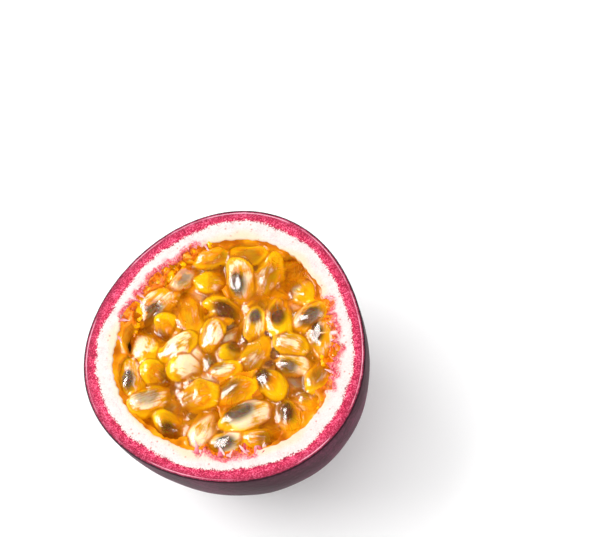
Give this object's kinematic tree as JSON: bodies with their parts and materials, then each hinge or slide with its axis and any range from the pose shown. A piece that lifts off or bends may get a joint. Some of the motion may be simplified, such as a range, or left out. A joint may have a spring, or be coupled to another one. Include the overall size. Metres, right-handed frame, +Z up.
{
  "type": "passion fruit half",
  "caption": "Cut passion fruit half standing face up: a thick purple peel cup with a crimson and white rim, filled with juicy orange pulp and seeds in their sacs.",
  "frame": {"origin": "centre of the small flat spot on the underside that the half rests on", "axes": "+Z up, square to the level cut face; -Y is the side nearest to the viewer"},
  "size_m": [0.055, 0.0572, 0.0315],
  "materials": {
    "peel": "dull waxy purple skin outside; moist crimson rind and white pith on the cut face",
    "pulp": "wet, translucent yellow to orange jelly with dark brown seeds"
  },
  "bodies": {
    "root": {"peel": "peel", "pulp": "pulp"}
  },
  "joints": []
}
